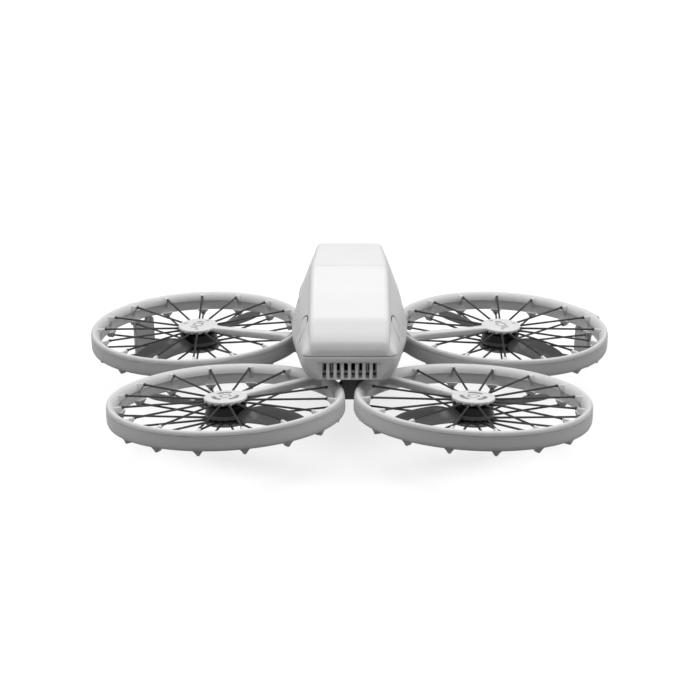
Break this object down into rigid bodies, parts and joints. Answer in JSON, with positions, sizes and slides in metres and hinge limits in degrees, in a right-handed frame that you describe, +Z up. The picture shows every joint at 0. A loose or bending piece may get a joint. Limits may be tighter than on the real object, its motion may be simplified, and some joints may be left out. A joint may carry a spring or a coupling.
{
  "type": "mini palm drone",
  "caption": "Palm-size folding camera drone: wedge-backed white fuselage with a battery at the tail, and caged rotors on wings that fold down beneath it.",
  "frame": {"origin": "middle of the unfolded drone's outline, on the ground its legs stand on", "axes": "+X to the drone's right, +Y towards the nose, +Z up"},
  "size_m": [0.2796, 0.233, 0.0813],
  "materials": {
    "shell_white": "satin white",
    "guard_grey": "fine matt light grey",
    "spoke_dark": "satin dark grey",
    "rotor_grey": "satin grey",
    "motor_black": "satin black",
    "copper": "enamelled copper windings",
    "dark_plastic": "matt black",
    "pin_steel": "ground steel",
    "board_green": "solder mask",
    "sink_metal": "bead blasted",
    "cell_film": "shrink film",
    "glass_dark": "tinted, opaque"
  },
  "bodies": {
    "fuselage": {"chassis": "shell_white", "main_shell": "shell_white", "front_hinge_bracket_left": "dark_plastic", "front_hinge_bracket_right": "dark_plastic", "rear_hinge_block": "dark_plastic", "heat_sink": "sink_metal", "main_board": "board_green", "belly_cover": "dark_plastic", "front_sensor_window": "glass_dark", "gimbal_mount": "dark_plastic", "front_left_hinge_pin": "pin_steel", "front_right_hinge_pin": "pin_steel", "rear_left_hinge_pin": "pin_steel", "rear_right_hinge_pin": "pin_steel"},
    "front_left_wing": {"front_left_guard_ring": "guard_grey", "front_left_hub_arm": "shell_white", "front_left_upper_spokes": "spoke_dark", "front_left_lower_spokes": "spoke_dark", "front_left_lower_hub": "spoke_dark", "front_left_motor_stator": "copper", "landing_leg_left": "shell_white"},
    "front_left_rotor": {"front_left_motor_bell": "motor_black", "front_left_propeller": "rotor_grey"},
    "front_right_wing": {"front_right_guard_ring": "guard_grey", "front_right_hub_arm": "shell_white", "front_right_upper_spokes": "spoke_dark", "front_right_lower_spokes": "spoke_dark", "front_right_lower_hub": "spoke_dark", "front_right_motor_stator": "copper", "landing_leg_right": "shell_white"},
    "front_right_rotor": {"front_right_motor_bell": "motor_black", "front_right_propeller": "rotor_grey"},
    "rear_left_wing": {"rear_left_guard_ring": "guard_grey", "rear_left_hub_arm": "shell_white", "rear_left_upper_spokes": "spoke_dark", "rear_left_lower_spokes": "spoke_dark", "rear_left_lower_hub": "spoke_dark", "rear_left_motor_stator": "copper"},
    "rear_left_rotor": {"rear_left_motor_bell": "motor_black", "rear_left_propeller": "rotor_grey"},
    "rear_right_wing": {"rear_right_guard_ring": "guard_grey", "rear_right_hub_arm": "shell_white", "rear_right_upper_spokes": "spoke_dark", "rear_right_lower_spokes": "spoke_dark", "rear_right_lower_hub": "spoke_dark", "rear_right_motor_stator": "copper"},
    "rear_right_rotor": {"rear_right_motor_bell": "motor_black", "rear_right_propeller": "rotor_grey"},
    "battery": {"battery_case": "shell_white", "battery_pack": "cell_film"},
    "latch_left": {"battery_latch_left": "shell_white"},
    "latch_right": {"battery_latch_right": "shell_white"},
    "fan": {"fan_impeller": "dark_plastic"},
    "gimbal_yaw": {"gimbal_yaw_arm": "dark_plastic"},
    "gimbal_roll": {"gimbal_roll_arm": "dark_plastic"},
    "camera": {"camera_housing": "dark_plastic", "camera_lens": "glass_dark"},
    "power_key": {"power_button": "shell_white"},
    "mode_key": {"mode_button": "shell_white"},
    "port_door": {"port_cover": "shell_white"}
  },
  "joints": [
    {"name": "front_left_fold", "type": "hinge", "parent": "fuselage", "child": "front_left_wing", "pos_m": [-0.02448, 0.03697, 0.02691], "axis": [-0.2031, -0.9662, 0.159], "range_deg": [0, 90.52]},
    {"name": "front_right_fold", "type": "hinge", "parent": "fuselage", "child": "front_right_wing", "pos_m": [0.02448, 0.03697, 0.02691], "axis": [-0.2031, 0.9662, -0.159], "range_deg": [0, 90.52]},
    {"name": "rear_left_fold", "type": "hinge", "parent": "fuselage", "child": "rear_left_wing", "pos_m": [-0.00927, -0.02389, 0.02407], "axis": [0.4664, -0.7793, -0.4185], "range_deg": [0, 103.21]},
    {"name": "rear_right_fold", "type": "hinge", "parent": "fuselage", "child": "rear_right_wing", "pos_m": [0.01078, -0.02184, 0.02544], "axis": [0.4786, 0.7651, 0.4308], "range_deg": [0, 104.3]},
    {"name": "front_left_spin", "type": "hinge", "parent": "front_left_wing", "child": "front_left_rotor", "pos_m": [-0.0821, 0.05875, 0.0322], "axis": [-0.0326, -0.0389, 0.9987], "continuous": true},
    {"name": "front_right_spin", "type": "hinge", "parent": "front_right_wing", "child": "front_right_rotor", "pos_m": [0.0821, 0.05875, 0.0322], "axis": [0.0326, -0.0389, 0.9987], "continuous": true},
    {"name": "rear_left_spin", "type": "hinge", "parent": "rear_left_wing", "child": "rear_left_rotor", "pos_m": [-0.0601, -0.05865, 0.0315], "axis": [-0.0387, 0.0391, 0.9985], "continuous": true},
    {"name": "rear_right_spin", "type": "hinge", "parent": "rear_right_wing", "child": "rear_right_rotor", "pos_m": [0.0601, -0.05865, 0.0315], "axis": [0.0387, 0.0391, 0.9985], "continuous": true},
    {"name": "battery_slide", "type": "slide", "parent": "fuselage", "child": "battery", "axis": [0, -1, 0], "range_m": [0, 0.07]},
    {"name": "latch_left_press", "type": "slide", "parent": "battery", "child": "latch_left", "axis": [1, 0, 0], "range_m": [0, 0.0015], "stiffness_N_per_m": 400, "springref_m": -0.0005},
    {"name": "latch_right_press", "type": "slide", "parent": "battery", "child": "latch_right", "axis": [-1, 0, 0], "range_m": [0, 0.0015], "stiffness_N_per_m": 400, "springref_m": -0.0005},
    {"name": "fan_spin", "type": "hinge", "parent": "fuselage", "child": "fan", "pos_m": [0, -0.015, 0.043], "axis": [0, 0, 1], "continuous": true},
    {"name": "gimbal_yaw", "type": "hinge", "parent": "fuselage", "child": "gimbal_yaw", "pos_m": [0, 0.066, 0.033], "axis": [0, 0, 1], "range_deg": [-20, 20]},
    {"name": "gimbal_roll", "type": "hinge", "parent": "gimbal_yaw", "child": "gimbal_roll", "pos_m": [0, 0.059, 0.0205], "axis": [0, 1, 0], "range_deg": [-35, 35]},
    {"name": "camera_pitch", "type": "hinge", "parent": "gimbal_roll", "child": "camera", "pos_m": [0, 0.07, 0.0205], "axis": [1, 0, 0], "range_deg": [-90, 35]},
    {"name": "power_press", "type": "slide", "parent": "fuselage", "child": "power_key", "axis": [0.9548, 0, -0.2974], "range_m": [0, 0.0005], "stiffness_N_per_m": 600, "springref_m": -0.0004},
    {"name": "mode_press", "type": "slide", "parent": "fuselage", "child": "mode_key", "axis": [0.9481, 0, -0.3179], "range_m": [0, 0.0005], "stiffness_N_per_m": 600, "springref_m": -0.0004},
    {"name": "port_cover_hinge", "type": "hinge", "parent": "fuselage", "child": "port_door", "pos_m": [0.02691, 0.024, 0.055], "axis": [0, 1, 0], "range_deg": [0, 100]}
  ]
}
